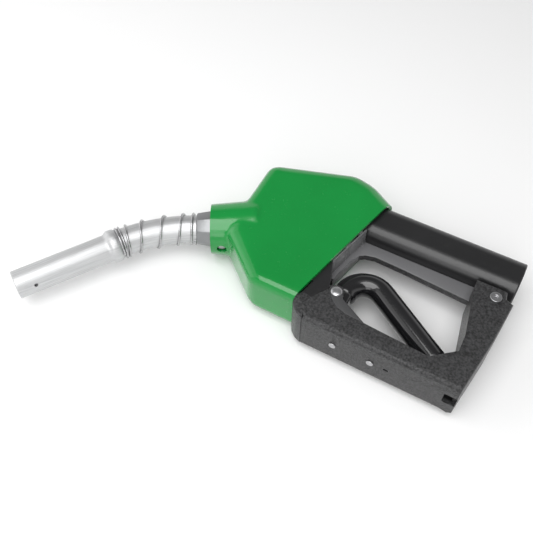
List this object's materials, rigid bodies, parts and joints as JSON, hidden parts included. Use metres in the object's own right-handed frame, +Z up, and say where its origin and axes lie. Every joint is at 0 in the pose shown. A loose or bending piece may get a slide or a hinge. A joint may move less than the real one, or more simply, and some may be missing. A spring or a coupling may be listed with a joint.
{
  "type": "fuel nozzle",
  "caption": "Automatic shut-off fuel nozzle with a bent spout, anchor spring, moulded cover, guarded squeeze lever and threaded hose inlet.",
  "frame": {"origin": "centre of the hose inlet's mouth", "axes": "the nozzle lies on its side: +X out of the hose inlet along the handle, +Y towards the top of the valve body, +Z up, across the nozzle"},
  "size_m": [0.371, 0.2375, 0.052],
  "materials": {
    "cast_aluminium": "sand cast",
    "spout_aluminium": "drawn, bright",
    "green_vinyl": "smooth gloss",
    "black_vinyl": "satin",
    "sleeve_vinyl": "dipped gloss",
    "guard_nylon": "fine spark texture",
    "stainless_steel": "turned",
    "spring_steel": "drawn wire",
    "brass": "turned",
    "seal_rubber": "moulded"
  },
  "bodies": {
    "nozzle_body": {"body_casting": "cast_aluminium", "body_cap": "cast_aluminium", "vacuum_cap": "cast_aluminium", "venturi_body": "cast_aluminium", "spout_tube": "spout_aluminium", "spout_nut": "spout_aluminium", "body_cover": "green_vinyl", "hand_grip": "black_vinyl", "front_cheeks": "black_vinyl", "lever_guard": "guard_nylon", "latch_ring": "stainless_steel", "spout_screw": "stainless_steel", "vent_tube": "stainless_steel", "check_guide": "stainless_steel", "guard_rivets": "stainless_steel", "rear_screw": "stainless_steel", "rear_nut": "stainless_steel", "floor_rivets": "stainless_steel", "hold_open_bracket": "stainless_steel", "hold_open_pin": "stainless_steel", "cap_screws": "stainless_steel", "main_spring": "spring_steel", "diaphragm_spring": "spring_steel", "trip_spring": "spring_steel", "check_spring": "spring_steel", "anchor_spring": "spring_steel", "valve_seat": "brass", "packing_nut": "brass", "trip_gland": "brass", "body_cap_seal": "seal_rubber", "stem_packing": "seal_rubber", "diaphragm": "seal_rubber", "spout_seal": "seal_rubber"},
    "main_valve": {"main_stem": "stainless_steel", "poppet": "brass", "poppet_disc": "seal_rubber"},
    "trip_plunger": {"trip_stem": "stainless_steel", "lever_pin": "stainless_steel", "latch_balls": "stainless_steel"},
    "vacuum_latch": {"latch_pin": "stainless_steel"},
    "check_valve": {"check_poppet": "stainless_steel"},
    "lever": {"lever_core": "cast_aluminium", "lever_sleeve": "sleeve_vinyl"},
    "hold_open_prop": {"hold_open_latch": "stainless_steel"}
  },
  "joints": [
    {"name": "trip_drop", "type": "slide", "parent": "nozzle_body", "child": "trip_plunger", "axis": [0, -1, 0], "range_m": [0, 0.006], "stiffness_N_per_m": 400, "springref_m": -0.01, "deforming": ["trip_spring"]},
    {"name": "lever_squeeze", "type": "hinge", "parent": "trip_plunger", "child": "lever", "pos_m": [-0.178, -0.083, 0], "axis": [0, 0, 1], "range_deg": [0, 10], "stiffness_Nm_per_rad": 4, "springref_deg": -17.19},
    {"name": "valve_lift", "type": "slide", "parent": "nozzle_body", "child": "main_valve", "axis": [0, 1, 0], "range_m": [0, 0.006], "deforming": ["main_spring"]},
    {"name": "vacuum_lift", "type": "slide", "parent": "nozzle_body", "child": "vacuum_latch", "axis": [0, 1, 0], "range_m": [0, 0.003], "stiffness_N_per_m": 150, "springref_m": -0.006, "deforming": ["diaphragm_spring", "diaphragm"]},
    {"name": "check_open", "type": "slide", "parent": "nozzle_body", "child": "check_valve", "axis": [-0.878, -0.4787, 0], "range_m": [0, 0.004], "stiffness_N_per_m": 100, "springref_m": -0.006, "deforming": ["check_spring"]},
    {"name": "hold_open_swing", "type": "hinge", "parent": "nozzle_body", "child": "hold_open_prop", "pos_m": [-0.068, -0.1105, 0], "axis": [0, 0, -1], "range_deg": [0, 40], "stiffness_Nm_per_rad": 0.02, "springref_deg": -17.19}
  ],
  "couplings": [
    {"joint": "valve_lift", "follows": "lever_squeeze", "m_per_rad": 0.034}
  ]
}
